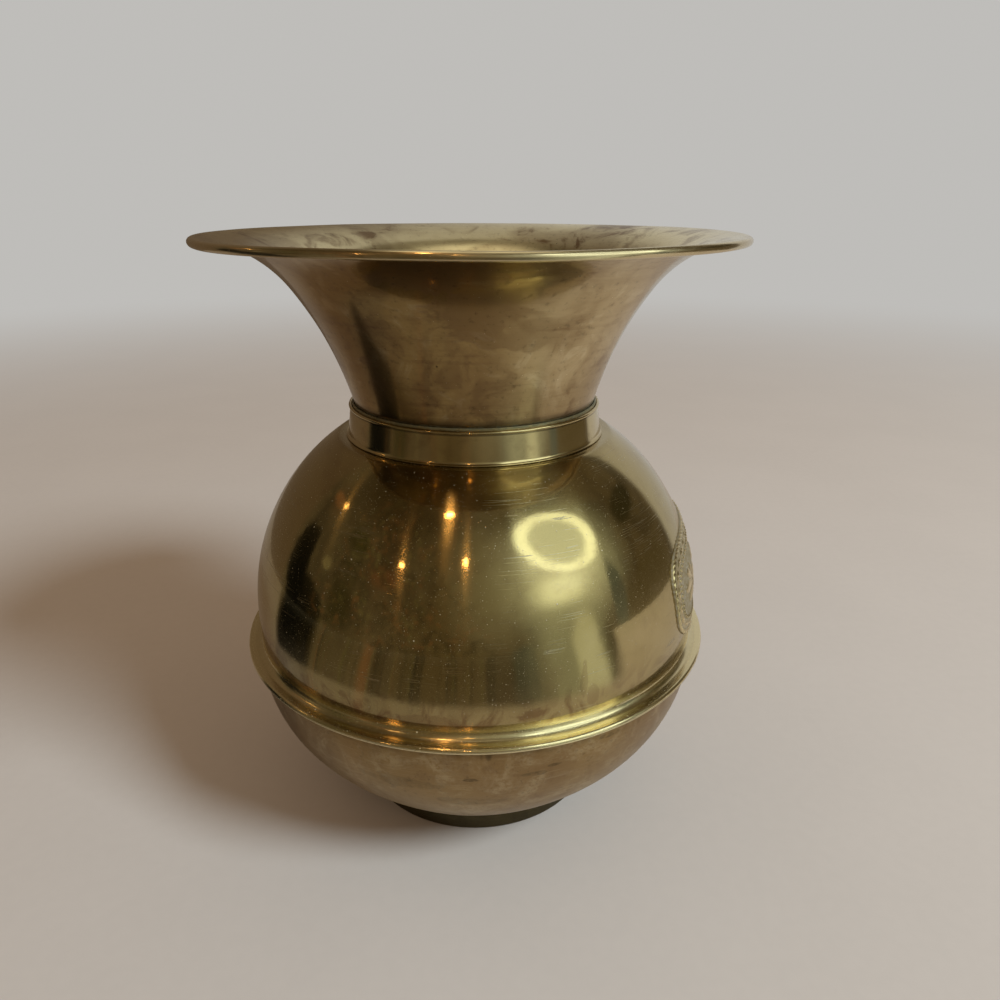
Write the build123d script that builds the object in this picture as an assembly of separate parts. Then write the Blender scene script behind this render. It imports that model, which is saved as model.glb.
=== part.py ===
from build123d import *
import math
import os

# Brass spittoon. Millimetres, Z up, the table top at Z = 0, and every piece round the Z axis.
# Each wall is drawn as a half section, radius across and height up, and then spun round Z.

# Funnel: the bell mouth that lifts out of the neck
rim_radius = 114.0            # over the rolled rim
funnel_wall = 0.8
throat_sweep = 149.0          # radius of the long curve from the throat up
flare_sweep = 50.0            # radius of the short curve that opens out to the rim
seat_slope = 14.7             # degrees from upright where the funnel rests in the lip
flare_slope = 35.9            # degrees from upright where the short curve takes over
spigot_drop = 22.0            # how far the funnel reaches down inside the neck
wire_radius = 0.7             # iron wire in the rim
wire_play = 0.15
curl_slit = 0.25              # between the curl's end and the underside of the flare

# Upper half of the body
belly_radius = 104.1          # where the belly is widest above the seam
belly_rise = 16.3             # from the seam's top face up to that widest place
shoulder_sweep = 93.4         # radius of the shoulder's curve
shoulder_wall = 0.8
skirt_fillet = 3.2            # hollow curve between the belly and the seam
seam_overhang = 5.8           # how far the seam stands out from the belly
hem_margin = 0.25             # between the turned-in hem and the bowl
crease_bend = 2.5             # where the shoulder breaks into the ledge
ledge_width = 5.4             # flat ledge round the foot of the neck
root_bend = 1.0
neck_radius = 54.8            # outside of the neck
neck_height = 14.9            # ledge to lip

# Lower half of the body
bowl_inset = 4.5              # how far the bowl's side stands in from the seam's edge
bowl_wall = 0.8
upper_sweep = 69.5            # radius of the bowl's side
lower_sweep = 164.0           # radius of the bowl's underside
sweep_slope = 49.2            # degrees from level where the two meet
flange_bend = 2.0
base_bend = 2.5               # round edge of the flat bottom
floor_height = 8.2            # underside of the flat bottom

# Collar round the neck
collar_wall = 0.8
collar_spread = 1.4           # how much wider the band is at its foot
top_bead = 0.72               # radius of the bead at the top
foot_bead = 0.9               # radius of the bead at the foot
lip_stand = 0.9               # how far the neck's lip stands above the collar

# Foot
foot_radius = 58.0
foot_height = 9.75            # where the bowl's outside meets the foot's outside
foot_wall = 1.2
foot_inner_bend = 0.3
foot_lip = 6.0                # sheet turned in under the closing plate
plate_wall = 1.0
weight_edge = 0.8             # chamfer of the iron disc
weight_margin = 3.2           # clear ring round the iron disc

# Solder and clearances
fit_gap = 0.1                 # film between pieces that are soldered or folded together
seat_gap = 0.15               # between the lifting funnel and the lip
solder_bead = 0.5             # radius of the bead inside the seam
solder_leg = 2.5              # legs of the fillet in the foot
collar_solder_rise = 8.0      # height of the solder behind the collar

# Bowl: centres of its two curves, and the plane of its flange
seam_radius = belly_radius + seam_overhang
bowl_radius = seam_radius - bowl_inset
sweep_step = lower_sweep - upper_sweep
lower_centre_r = bowl_radius - upper_sweep - sweep_step * math.sin(math.radians(sweep_slope))


def leg(hypotenuse, side):
    """The other side of a right triangle."""
    return math.sqrt(hypotenuse**2 - side**2)


lower_centre_z = foot_height + leg(lower_sweep, foot_radius - lower_centre_r)
bowl_top = lower_centre_z - sweep_step * math.cos(math.radians(sweep_slope))
flange_top = bowl_top + flange_bend + bowl_wall

# Seam: the shoulder's skirt is folded round the edge of the bowl's flange
fold_radius = bowl_wall / 2 + fit_gap + shoulder_wall
fold_centre_r = seam_radius - fold_radius
fold_centre_z = flange_top - bowl_wall / 2
seam_top = fold_centre_z + fold_radius
hem_run = fold_centre_r - bowl_radius - flange_bend - hem_margin

# Shoulder: its curve, the hollow curve into the seam, and the ledge that it breaks into
belly_height = seam_top + belly_rise
shoulder_centre_r = belly_radius - shoulder_sweep
skirt_centre_r = shoulder_centre_r + leg(shoulder_sweep + skirt_fillet, skirt_fillet - belly_rise)
crease_centre_r = neck_radius + root_bend + ledge_width
crease_rise = leg(shoulder_sweep - crease_bend, crease_centre_r - shoulder_centre_r)
ledge = belly_height + crease_rise + crease_bend
lip = ledge + neck_height

# Funnel: where its curves meet, and the curl of its rim
seat_radius = neck_radius - shoulder_wall - seat_gap
curl_inner = wire_radius + wire_play
curl_outer = curl_inner + funnel_wall
curl_centre_r = rim_radius - curl_outer


def sweep_reach(radius, low, high):
    """How far out and up a curve of this radius goes between two slopes from upright, in degrees."""
    low, high = math.radians(low), math.radians(high)
    return radius * (math.cos(low) - math.cos(high)), radius * (math.sin(high) - math.sin(low))


flare_start_r = seat_radius + sweep_reach(throat_sweep, seat_slope, flare_slope)[0]
flare_centre_r = flare_start_r + flare_sweep * math.cos(math.radians(flare_slope))
rim_slope = math.degrees(math.acos((flare_centre_r - curl_centre_r) / (flare_sweep - curl_inner)))
spigot_sine = math.sin(math.radians(seat_slope)) - spigot_drop / throat_sweep
spigot_slope = math.degrees(math.asin(spigot_sine))
flare_start_z = lip + sweep_reach(throat_sweep, seat_slope, flare_slope)[1]
flare_end_z = flare_start_z + sweep_reach(flare_sweep, flare_slope, rim_slope)[1]
curl_centre_z = flare_end_z - curl_inner * math.sin(math.radians(rim_slope))


def beside(point, heading, distance):
    """The point at a distance to the left of a heading, in degrees."""
    turn = math.radians(heading)
    return point[0] - distance * math.sin(turn), point[1] + distance * math.cos(turn)


def sheet_face(start, heading, steps, inset):
    """One face of a sheet of runs (length, 0) and bends (radius, degrees to the left), set in to the left."""
    point = start
    edges = []
    for size, turn in steps:
        first = beside(point, heading, inset)
        if turn == 0:
            point = beside(point, heading - 90, size)
            edges.append(Line(first, beside(point, heading, inset)))
        else:
            radius = math.copysign(size, turn)
            centre = beside(point, heading, radius)
            middle = beside(centre, heading + turn / 2, inset - radius)
            heading = heading + turn
            point = beside(centre, heading, -radius)
            edges.append(ThreePointArc(first, middle, beside(centre, heading, inset - radius)))
    return edges


def sheet(start, heading, steps, wall):
    """Section of a sheet of one thickness that lies to the left of the traced outer face."""
    outer = sheet_face(start, heading, steps, 0)
    inner = sheet_face(start, heading, steps, wall)
    caps = [Line(outer[0] @ 0, inner[0] @ 0), Line(outer[-1] @ 1, inner[-1] @ 1)]
    return make_face(outer + inner + caps)


def outline(*points):
    """Section with straight sides."""
    return make_face(Polyline(*points, close=True))


def spin(section):
    """Solid that a half section makes round the Z axis."""
    return revolve(Plane.XZ * section, Axis.Z)


def funnel():
    """Bell mouth, from the end of its spigot to the curl round the wire."""
    reach, rise = sweep_reach(throat_sweep, spigot_slope, seat_slope)
    open_turn = math.degrees(math.acos((curl_inner - curl_slit) / curl_outer))
    steps = [
        (throat_sweep, spigot_slope - flare_slope),
        (flare_sweep, flare_slope - rim_slope),
        (curl_inner, open_turn - 360),
    ]
    return spin(sheet((seat_radius - reach, lip - rise), 90 - spigot_slope, steps, funnel_wall))


def rim_wire():
    """Iron wire inside the curl of the rim."""
    return spin(Pos(curl_centre_r, curl_centre_z) * Circle(wire_radius))


def shoulder_shell():
    """Upper half: hem, fold, hollow curve, shoulder, ledge and neck."""
    skirt_slope = math.degrees(math.asin((skirt_fillet - belly_rise) / (shoulder_sweep + skirt_fillet)))
    crease_slope = math.degrees(math.asin(crease_rise / (shoulder_sweep - crease_bend)))
    steps = [
        (hem_run, 0),
        (fold_radius, 180),
        (fold_centre_r - skirt_centre_r, 0),
        (skirt_fillet, skirt_slope - 90),
        (shoulder_sweep, crease_slope - skirt_slope),
        (crease_bend, 90 - crease_slope),
        (ledge_width, 0),
        (root_bend, -90),
        (neck_height - root_bend, 0),
    ]
    return spin(sheet((fold_centre_r - hem_run, fold_centre_z - fold_radius), 0, steps, shoulder_wall))


def bowl_side():
    """Bowl from the middle of its flat bottom: round edge, underside and side."""
    bend_drop = lower_centre_z - floor_height - base_bend
    bend_reach = leg(lower_sweep - base_bend, bend_drop)
    bend_slope = math.degrees(math.atan2(bend_reach, bend_drop))
    return [
        (lower_centre_r + bend_reach, 0),
        (base_bend, bend_slope),
        (lower_sweep, sweep_slope - bend_slope),
        (upper_sweep, 90 - sweep_slope),
    ]


def bowl_form():
    """Section of the bowl as if it were solid, with the film of solder round it."""
    outside = sheet_face((0, floor_height), 0, bowl_side(), -fit_gap)
    bottom, top = outside[0] @ 0, outside[-1] @ 1
    return make_face(outside + [Line(top, (0, bowl_top)), Line((0, bowl_top), bottom)])


def bowl_shell():
    """Lower half, with the flange that the shoulder is folded round."""
    flange = [(flange_bend, -90), (fold_centre_r - bowl_radius - flange_bend, 0)]
    return spin(sheet((0, floor_height), 0, bowl_side() + flange, bowl_wall))


def seam_solder():
    """Bead of solder in the groove between the bowl's flange and the shoulder's hollow curve, on the inside."""
    bend_r = bowl_radius + flange_bend
    to_bend = flange_bend + bowl_wall + fit_gap + solder_bead
    to_skirt = skirt_fillet + shoulder_wall + fit_gap + solder_bead
    across = skirt_centre_r - bend_r
    up = seam_top + skirt_fillet - bowl_top
    apart = math.hypot(across, up)
    along = (to_bend**2 - to_skirt**2 + apart**2) / (2 * apart)
    aside = leg(to_bend, along)
    bead_r = bend_r + (along * across - aside * up) / apart
    bead_z = bowl_top + (along * up + aside * across) / apart
    return spin(Pos(bead_r, bead_z) * Circle(solder_bead))


def collar():
    """Band round the neck, with a bead at each edge."""
    inner_top = neck_radius + fit_gap
    inner_low = inner_top + collar_spread
    top = lip - lip_stand - top_bead
    low = ledge + fit_gap + foot_bead
    outer_low = inner_low + collar_wall
    outer_top = inner_top + collar_wall
    band = outline((inner_low, low), (outer_low, low), (outer_top, top), (inner_top, top))
    top_roll = Pos(inner_top + top_bead, top) * Circle(top_bead)
    foot_roll = Pos(inner_low + foot_bead, low) * Circle(foot_bead)
    return spin(band + top_roll + foot_roll)


def collar_solder():
    """Solder that fills the taper between the neck and the collar."""
    neck = neck_radius + fit_gap
    low = ledge + root_bend
    high = low + collar_solder_rise
    band_low = ledge + fit_gap + foot_bead
    band_top = lip - lip_stand - top_bead

    def band(height):
        return neck + collar_spread * (band_top - height) / (band_top - band_low) - fit_gap

    return spin(outline((neck, low), (band(low), low), (band(high), high), (neck, high)))


def foot_ring():
    """Ring that the body stands on, turned in below and fitted to the bowl above."""
    lip_end = foot_radius - foot_wall - foot_lip
    bend = foot_wall + foot_inner_bend
    steps = [(foot_radius - bend - lip_end, 0), (bend, 90), (foot_height - bend, 0)]
    return spin(sheet((lip_end, 0), 0, steps, foot_wall) - bowl_form())


def foot_solder():
    """Solder in the corner between the foot ring and the bowl."""
    ring = foot_radius - foot_wall - fit_gap
    corner = floor_height + base_bend / 2
    fillet = outline((ring, corner - solder_leg), (ring, corner), (ring - solder_leg, corner))
    return spin(fillet - bowl_form())


def base_plate():
    """Brass disc that closes the foot, lying on the ring's turned-in lip."""
    edge = foot_radius - foot_wall - foot_inner_bend - fit_gap
    low = foot_wall + fit_gap
    high = low + plate_wall
    return spin(outline((0, low), (edge, low), (edge, high), (0, high)))


def base_weight():
    """Iron disc between the closing plate and the flat bottom of the bowl."""
    edge = foot_radius - foot_wall - weight_margin
    low = foot_wall + plate_wall + 2 * fit_gap
    high = floor_height - fit_gap
    block = outline((0, low), (edge, low), (edge, high), (0, high))
    corners = [vertex for vertex in block.vertices() if vertex.X > edge / 2]
    return spin(chamfer(corners, weight_edge))


pieces = {
    "funnel": funnel(),
    "rim_wire": rim_wire(),
    "shoulder_shell": shoulder_shell(),
    "bowl_shell": bowl_shell(),
    "seam_solder": seam_solder(),
    "collar": collar(),
    "collar_solder": collar_solder(),
    "foot_ring": foot_ring(),
    "foot_solder": foot_solder(),
    "base_plate": base_plate(),
    "base_weight": base_weight(),
}

os.makedirs("parts", exist_ok=True)
for name, piece in pieces.items():
    export_step(piece, f"parts/{name}.step")

print("overall height", round(curl_centre_z + curl_outer, 2))
print("seam plane", round(fold_centre_z, 2), "seam radius", round(seam_radius, 2))
print("belly height", round(belly_height, 2), "ledge", round(ledge, 2), "lip", round(lip, 2))
print("throat radius at the spigot's end", round(
    seat_radius - sweep_reach(throat_sweep, spigot_slope, seat_slope)[0] - funnel_wall, 2))
print("spigot's end", round(lip - spigot_drop, 2))
print("rim slope", round(rim_slope, 1), "curl centre", round(curl_centre_r, 2), round(curl_centre_z, 2))
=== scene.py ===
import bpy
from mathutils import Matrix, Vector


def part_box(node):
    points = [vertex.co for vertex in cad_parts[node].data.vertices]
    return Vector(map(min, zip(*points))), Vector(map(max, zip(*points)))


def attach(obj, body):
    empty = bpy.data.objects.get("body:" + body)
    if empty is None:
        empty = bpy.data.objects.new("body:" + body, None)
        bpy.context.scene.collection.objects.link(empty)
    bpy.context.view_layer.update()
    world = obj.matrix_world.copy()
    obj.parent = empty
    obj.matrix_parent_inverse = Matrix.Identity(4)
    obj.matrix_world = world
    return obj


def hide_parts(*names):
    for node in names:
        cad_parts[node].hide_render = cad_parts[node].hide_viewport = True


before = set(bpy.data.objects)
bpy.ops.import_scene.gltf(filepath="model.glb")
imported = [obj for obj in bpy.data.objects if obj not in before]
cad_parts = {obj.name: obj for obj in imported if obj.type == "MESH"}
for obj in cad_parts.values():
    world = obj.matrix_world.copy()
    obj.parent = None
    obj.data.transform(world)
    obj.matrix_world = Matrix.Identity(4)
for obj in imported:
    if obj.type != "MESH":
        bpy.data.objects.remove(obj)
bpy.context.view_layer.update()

import math

import bpy
from mathutils import Matrix, Vector

bl_info = {
    "name": "Brass spittoon",
    "version": (1, 0, 0),
    "blender": (4, 5, 0),
    "location": "View3D > Sidebar > Spittoon",
    "description": "Builds an aged brass spittoon with a lift-out funnel round its packed frame",
    "category": "Object",
}

MM = 0.001
# Steps round a turned piece, and how close points are merged
AROUND, WELD = 240, 0.002 * MM
FUNNEL_LOW, FUNNEL_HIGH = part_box("funnel")
_, SHOULDER_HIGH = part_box("shoulder_shell")
BOWL_LOW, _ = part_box("bowl_shell")
COLLAR_LOW, COLLAR_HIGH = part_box("collar")
_, FOOT_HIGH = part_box("foot_ring")


def length(name, description, default):
    """A length property, in metres."""
    return bpy.props.FloatProperty(name=name, description=description, default=default, unit="LENGTH", precision=5)


def angle(name, description, degrees):
    """An angle property, given here in degrees."""
    return bpy.props.FloatProperty(name=name, description=description, default=math.radians(degrees), subtype="ANGLE")


def colour(name, description, default):
    """A colour property."""
    return bpy.props.FloatVectorProperty(
        name=name, description=description, default=default, subtype="COLOR", size=3, min=0, max=1
    )


def share(name, description, default, high=1.0):
    """A plain number property."""
    return bpy.props.FloatProperty(name=name, description=description, default=default, min=0, max=high)


class SheetSizes(bpy.types.PropertyGroup):
    """Sizes of the sheet brass, as the frame has them."""

    wall: length("Sheet thickness", "Thickness of the spun brass", 0.8 * MM)
    film: length("Solder film", "Space between soldered or folded sheets", 0.1 * MM)
    rim_radius: length("Rim radius", "Over the rolled rim of the funnel", FUNNEL_HIGH.x)
    spigot_end: length("Spigot end", "Height of the funnel's lower end", FUNNEL_LOW.z)
    throat_sweep: length("Throat curve", "Radius of the long curve of the funnel", 149 * MM)
    flare_sweep: length("Flare curve", "Radius of the short curve under the rim", 50 * MM)
    seat_slope: angle("Seat slope", "From upright, where the funnel rests in the lip", 14.7)
    flare_slope: angle("Flare slope", "From upright, where the flare begins", 35.9)
    curl: length("Curl", "Inner radius of the rolled rim", 0.85 * MM)
    curl_slit: length("Curl slit", "Between the curl's end and the flare", 0.25 * MM)
    seat_gap: length("Seat gap", "Between the funnel and the lip", 0.15 * MM)
    belly_radius: length("Belly radius", "Widest place above the seam", 104.1 * MM)
    belly_rise: length("Belly rise", "From the seam up to that place", 16.3 * MM)
    shoulder_sweep: length("Shoulder curve", "Radius of the shoulder's curve", 93.4 * MM)
    skirt_fillet: length("Hollow curve", "Between the belly and the seam", 3.2 * MM)
    seam_radius: length("Seam radius", "Over the folded seam", SHOULDER_HIGH.x)
    hem_margin: length("Hem margin", "Between the turned-in hem and the bowl", 0.25 * MM)
    crease_bend: length("Crease", "Where the shoulder breaks into the ledge", 2.5 * MM)
    ledge_width: length("Ledge", "Flat ring round the foot of the neck", 5.4 * MM)
    root_bend: length("Neck root", "Bend at the foot of the neck", 1 * MM)
    neck_radius: length("Neck radius", "Outside of the neck", 54.8 * MM)
    lip: length("Lip", "Height of the neck's lip", SHOULDER_HIGH.z)
    bowl_inset: length("Bowl inset", "From the seam's edge to the bowl's side", 4.5 * MM)
    upper_sweep: length("Side curve", "Radius of the bowl's side", 69.5 * MM)
    lower_sweep: length("Underside curve", "Radius of the bowl's underside", 164 * MM)
    sweep_slope: angle("Curve change", "From level, where side and underside meet", 49.2)
    flange_bend: length("Flange bend", "Bend of the bowl's flange", 2 * MM)
    base_bend: length("Base bend", "Round edge of the bowl's flat bottom", 2.5 * MM)
    base_height: length("Base height", "Underside of the bowl's flat bottom", BOWL_LOW.z)
    foot_radius: length("Foot radius", "Outside of the foot ring", FOOT_HIGH.x)
    foot_height: length("Foot height", "Where the foot ring meets the bowl", 9.75 * MM)
    foot_wall: length("Foot thickness", "Thickness of the foot ring", 1.2 * MM)
    foot_inner_bend: length("Foot inner bend", "Inside of the foot ring's bend", 0.3 * MM)
    foot_lip: length("Foot lip", "Sheet turned in under the base", 6 * MM)
    collar_spread: length("Collar spread", "How much wider the collar is at its foot", 1.4 * MM)
    top_bead: length("Top bead", "Radius of the collar's upper bead", 0.72 * MM)
    cove: length("Collar cove", "Hollow curve at the collar's foot", 1.6 * MM)
    cove_edge: length("Collar edge", "Rounding of the collar's lower edge", 0.35 * MM)
    dents: length("Dents", "Depth of the soft dents in the sheet", 0.5 * MM)
    rim_dents: length("Rim dents", "How far the rim waves up and down", 0.9 * MM)


class MedallionSizes(bpy.types.PropertyGroup):
    """Sizes of the oval ornament on the side of the shoulder."""

    bearing: angle("Bearing", "From the front towards the right-hand side", 90)
    height: length("Height", "Height of its middle", 118.5 * MM)
    half_width: length("Half width", "Half of its width round the shoulder", 62.5 * MM)
    half_height: length("Half height", "Half of its height along the shoulder", 25 * MM)
    relief: length("Relief", "How far the ornament stands out", 1.1 * MM)
    border: length("Border", "Width of rope, leaf band and beads together", 9 * MM)
    sheet: length("Sheet", "Thickness of its sheet", 0.35 * MM)


class BrassColours(bpy.types.PropertyGroup):
    """Colours of the brass and what has settled on it, and of the painted highlights and painted shade that some of
    them stand for.
    """

    shoulder: colour("Shoulder", "Polished brass of the shoulder", (0.50, 0.40, 0.19))
    funnel: colour("Funnel", "Brass of the funnel", (0.40, 0.275, 0.112))
    collar: colour("Collar", "Brass of the collar", (0.62, 0.50, 0.27))
    bowl: colour("Bowl", "Brass of the bowl", (0.37, 0.248, 0.108))
    # The foot's colour is tarnish darkened further as painted shade under the bowl.
    foot: colour("Foot", "Tarnished brass of the foot ring", (0.10, 0.08, 0.042))
    stain: colour("Stain", "Brown stain", (0.27, 0.17, 0.08))
    # Bright brass: a painted highlight on the band above the seam, painted light inside the funnel, and the worn high
    # places of the medallion.
    bare_and_highlight: colour("Bare", "Bright brass of the seam", (0.86, 0.74, 0.44))
    # Also a painted highlight on the funnel's rolled rim and in a band right of its axis.
    pale: colour("Rubbed", "Where the brass is rubbed bright", (0.78, 0.66, 0.42))
    dust: colour("Dust", "Dust and dried polish", (0.62, 0.58, 0.48))
    verdigris: colour("Verdigris", "Green corrosion in the joint of the lip", (0.13, 0.14, 0.085))
    # Also used as painted shade under the seam and where the funnel enters the neck.
    grime_and_shade: colour("Grime", "Dark dirt in the corners", (0.05, 0.04, 0.025))


class StudioSettings(bpy.types.PropertyGroup):
    """Floor, lamps, surroundings and camera."""

    floor: colour("Floor", "Colour of the floor", (0.56, 0.52, 0.47))
    backdrop: colour("Backdrop", "Colour behind the object", (0.52, 0.51, 0.49))
    fill: colour("Fill light", "Warm even light", (1.0, 0.74, 0.53))
    fill_strength: share("Fill strength", "Strength of the even light", 0.42, 4)
    key: colour("Main light", "Cool light from the right", (0.80, 0.91, 1.0))
    key_power: bpy.props.FloatProperty(name="Main light power", description="In watts", default=88, unit="POWER")
    key_radius: length("Main light radius", "Radius of the main light", 0.46)
    key_distance: length("Main light distance", "From the middle of the object", 3)
    key_bearing: angle("Main light bearing", "From the front towards the right", 55)
    key_elevation: angle("Main light elevation", "Above level", 40)
    aim: length("Aim", "Height that the main light shines at", 0.13)
    room_radius: length("Room radius", "Size of the surroundings that the metal mirrors", 0.8)
    bulb_gap: length("Bulb gap", "From the small bulbs to the wall of the room", 0.03)
    room: colour("Room", "Dim room in front", (0.125, 0.098, 0.06))
    shade: colour("Room shade", "Darkest places of the room", (0.02, 0.016, 0.01))
    ceiling: colour("Ceiling", "Above the object", (0.92, 0.86, 0.68))
    shaded_wall: colour("Shaded wall", "Behind, on the left", (0.125, 0.088, 0.055))
    lamp_bearing: angle("Lamp bearing", "From the front towards the right", 50)
    lamp_elevation: angle("Lamp elevation", "Above level", 46)
    lamp_tilt: angle("Lamp tilt", "Turn of its oval", -27)
    lamp_width: share("Lamp half width", "As a share of the room's radius", 0.30)
    lamp_height: share("Lamp half height", "As a share of the room's radius", 0.20)
    warm: colour("Bulbs", "Small warm bulbs", (1.0, 0.55, 0.2))
    camera_distance: length("Camera distance", "In front of the axis", 356.24 * MM)
    camera_height: length("Camera height", "Above the floor", 281.72 * MM)
    camera_pitch: angle("Camera pitch", "Downwards", 21.0276)
    camera_yaw: angle("Camera yaw", "To the right", 1.8736)
    camera_roll: angle("Camera roll", "Round its line of sight", 0.0745)
    lens: bpy.props.FloatProperty(
        name="Lens", description="Focal length in mm", default=28.8, subtype="DISTANCE_CAMERA"
    )


# Curves of the sheet


def leg(hypotenuse, side):
    """The other side of a right triangle."""
    return math.sqrt(hypotenuse**2 - side**2)


def reach(radius, low, high):
    """How far out and up a curve goes between two slopes from upright."""
    return radius * (math.cos(low) - math.cos(high)), radius * (math.sin(high) - math.sin(low))


class Curves:
    """Centres and slopes that follow from the sheet's sizes."""

    def __init__(self, s):
        self.curl_out = s.curl + s.wall
        self.curl_r = s.rim_radius - self.curl_out
        self.seat_r = s.neck_radius - s.wall - s.seat_gap
        flare_r = self.seat_r + reach(s.throat_sweep, s.seat_slope, s.flare_slope)[0]
        flare_centre = flare_r + s.flare_sweep * math.cos(s.flare_slope)
        self.rim_slope = math.acos((flare_centre - self.curl_r) / (s.flare_sweep - s.curl))
        self.spigot_slope = math.asin(math.sin(s.seat_slope) - (s.lip - s.spigot_end) / s.throat_sweep)
        self.bowl_r = s.seam_radius - s.bowl_inset
        step = s.lower_sweep - s.upper_sweep
        self.under_r = self.bowl_r - s.upper_sweep - step * math.sin(s.sweep_slope)
        self.under_z = s.foot_height + leg(s.lower_sweep, s.foot_radius - self.under_r)
        self.bowl_top = self.under_z - step * math.cos(s.sweep_slope)
        self.fold = s.wall / 2 + s.film + s.wall
        self.fold_r = s.seam_radius - self.fold
        self.fold_z = self.bowl_top + s.flange_bend + s.wall / 2
        self.seam_top = self.fold_z + self.fold
        self.hem = self.fold_r - self.bowl_r - s.flange_bend - s.hem_margin
        self.belly_z = self.seam_top + s.belly_rise
        self.shoulder_r = s.belly_radius - s.shoulder_sweep
        self.skirt_r = self.shoulder_r + leg(s.shoulder_sweep + s.skirt_fillet, s.skirt_fillet - s.belly_rise)
        self.crease_r = s.neck_radius + s.root_bend + s.ledge_width
        self.crease_rise = leg(s.shoulder_sweep - s.crease_bend, self.crease_r - self.shoulder_r)
        self.ledge = self.belly_z + self.crease_rise + s.crease_bend


def traced(start, heading, steps, grain=2.4 * MM, turn=math.radians(12)):
    """Points along runs (length, 0) and bends (radius, angle to the left), from a start and a heading."""
    (r, z), points = start, [start]
    for size, bend in steps:
        if bend == 0:
            count = max(1, math.ceil(size / grain))
            for _ in range(count):
                r, z = r + size / count * math.cos(heading), z + size / count * math.sin(heading)
                points.append((r, z))
            continue
        count = max(2, math.ceil(abs(bend) / turn), math.ceil(abs(bend) * size / grain))
        side = math.copysign(size, bend)
        centre = (r - side * math.sin(heading), z + side * math.cos(heading))
        for _ in range(count):
            heading += bend / count
            r, z = centre[0] + side * math.sin(heading), centre[1] - side * math.cos(heading)
            points.append((r, z))
    return points


def arc(centre, radius, first, last, turn=15):
    """Points on an arc, with its angles in degrees."""
    count = max(2, math.ceil(abs(last - first) / turn))
    angles = [math.radians(first + (last - first) * i / count) for i in range(count + 1)]
    return [(centre[0] + radius * math.cos(a), centre[1] + radius * math.sin(a)) for a in angles]


# Modelling


def only(piece):
    """Selects one object alone and makes it active."""
    bpy.ops.object.select_all(action="DESELECT")
    piece.select_set(True)
    bpy.context.view_layer.objects.active = piece


def apply_modifier(piece, kind, **settings):
    """Adds a modifier, sets it and applies it."""
    only(piece)
    modifier = piece.modifiers.new(kind.lower(), kind)
    for name, value in settings.items():
        setattr(modifier, name, value)
    bpy.ops.object.modifier_apply(modifier=modifier.name)


def settle(piece, name):
    """Puts a piece's place into its mesh and names it."""
    only(piece)
    bpy.ops.object.transform_apply(location=True, rotation=True, scale=True)
    piece.name = piece.data.name = name
    return piece


def turned(name, points):
    """Draws a row of points point by point and spins it round Z, with faces towards the right of the row."""
    bpy.ops.object.select_all(action="DESELECT")
    bpy.ops.mesh.primitive_plane_add(size=MM, location=(points[0][0], 0, points[0][1]))
    piece = bpy.context.object
    bpy.ops.object.mode_set(mode="EDIT")
    bpy.ops.mesh.merge(type="CENTER")
    for (r0, z0), (r1, z1) in zip(points, points[1:]):
        bpy.ops.mesh.extrude_region_move(TRANSFORM_OT_translate={"value": (r1 - r0, 0, z1 - z0)})
    bpy.ops.mesh.select_all(action="SELECT")
    bpy.ops.mesh.spin(steps=AROUND, angle=2 * math.pi, center=(0, 0, 0), axis=(0, 0, 1))
    bpy.ops.mesh.select_all(action="SELECT")
    bpy.ops.mesh.remove_doubles(threshold=WELD)
    bpy.ops.mesh.normals_make_consistent(inside=False)
    bpy.ops.object.mode_set(mode="OBJECT")
    settle(piece, name)
    (r0, z0), (r1, z1) = points[len(points) // 2 : len(points) // 2 + 2]
    middle = Vector(((r0 + r1) / 2, 0, (z0 + z1) / 2))
    face = min(piece.data.polygons, key=lambda f: (f.center - middle).length)
    face_towards(piece, face, (z1 - z0, 0, r0 - r1))
    return piece


def face_towards(piece, face, way):
    """Turns all faces round if one of them doesn't look the way it should."""
    if face.normal.dot(Vector(way)) < 0:
        only(piece)
        bpy.ops.object.mode_set(mode="EDIT")
        bpy.ops.mesh.select_all(action="SELECT")
        bpy.ops.mesh.flip_normals()
        bpy.ops.object.mode_set(mode="OBJECT")


def dent(piece, size, depth, weight, direction="NORMAL"):
    """Presses soft hollows of a size into a shell, as deep as the depth where the weight of a point is 1."""
    group = piece.vertex_groups.new(name="soft")
    for vertex in piece.data.vertices:
        co = vertex.co
        group.add([vertex.index], weight(math.hypot(co.x, co.y), co.z), "REPLACE")
    clouds = bpy.data.textures.new(piece.name + "_dents", "CLOUDS")
    clouds.noise_scale = size
    clouds.noise_depth = 1
    apply_modifier(
        piece, "DISPLACE", texture=clouds, strength=depth, mid_level=1, direction=direction, vertex_group="soft"
    )
    piece.vertex_groups.clear()
    bpy.data.textures.remove(clouds)


def thickened(piece, wall, edge=0.22 * MM):
    """Gives a shell its wall, to the left of its faces, and rounds the raw edges."""
    apply_modifier(piece, "SOLIDIFY", thickness=wall, offset=-1, use_even_offset=True)
    rounded(piece, edge, 3, 60)
    smooth(piece)


def rounded(piece, width, segments, degrees):
    """Rounds the edges that are sharper than an angle."""
    sharp = {"limit_method": "ANGLE", "angle_limit": math.radians(degrees)}
    apply_modifier(piece, "BEVEL", width=width, segments=segments, **sharp)


def smooth(piece, degrees=40):
    """Shades a piece smooth except at its sharp edges."""
    only(piece)
    bpy.ops.object.shade_smooth_by_angle(angle=math.radians(degrees))


def finished(piece, body, finish, slot, *nodes):
    """Paints a piece, lets it ride on a body and stand for CAD nodes."""
    piece.data.materials.clear()
    piece.data.materials.append(finish)
    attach(piece, body)
    if nodes:
        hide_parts(*nodes)


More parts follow.
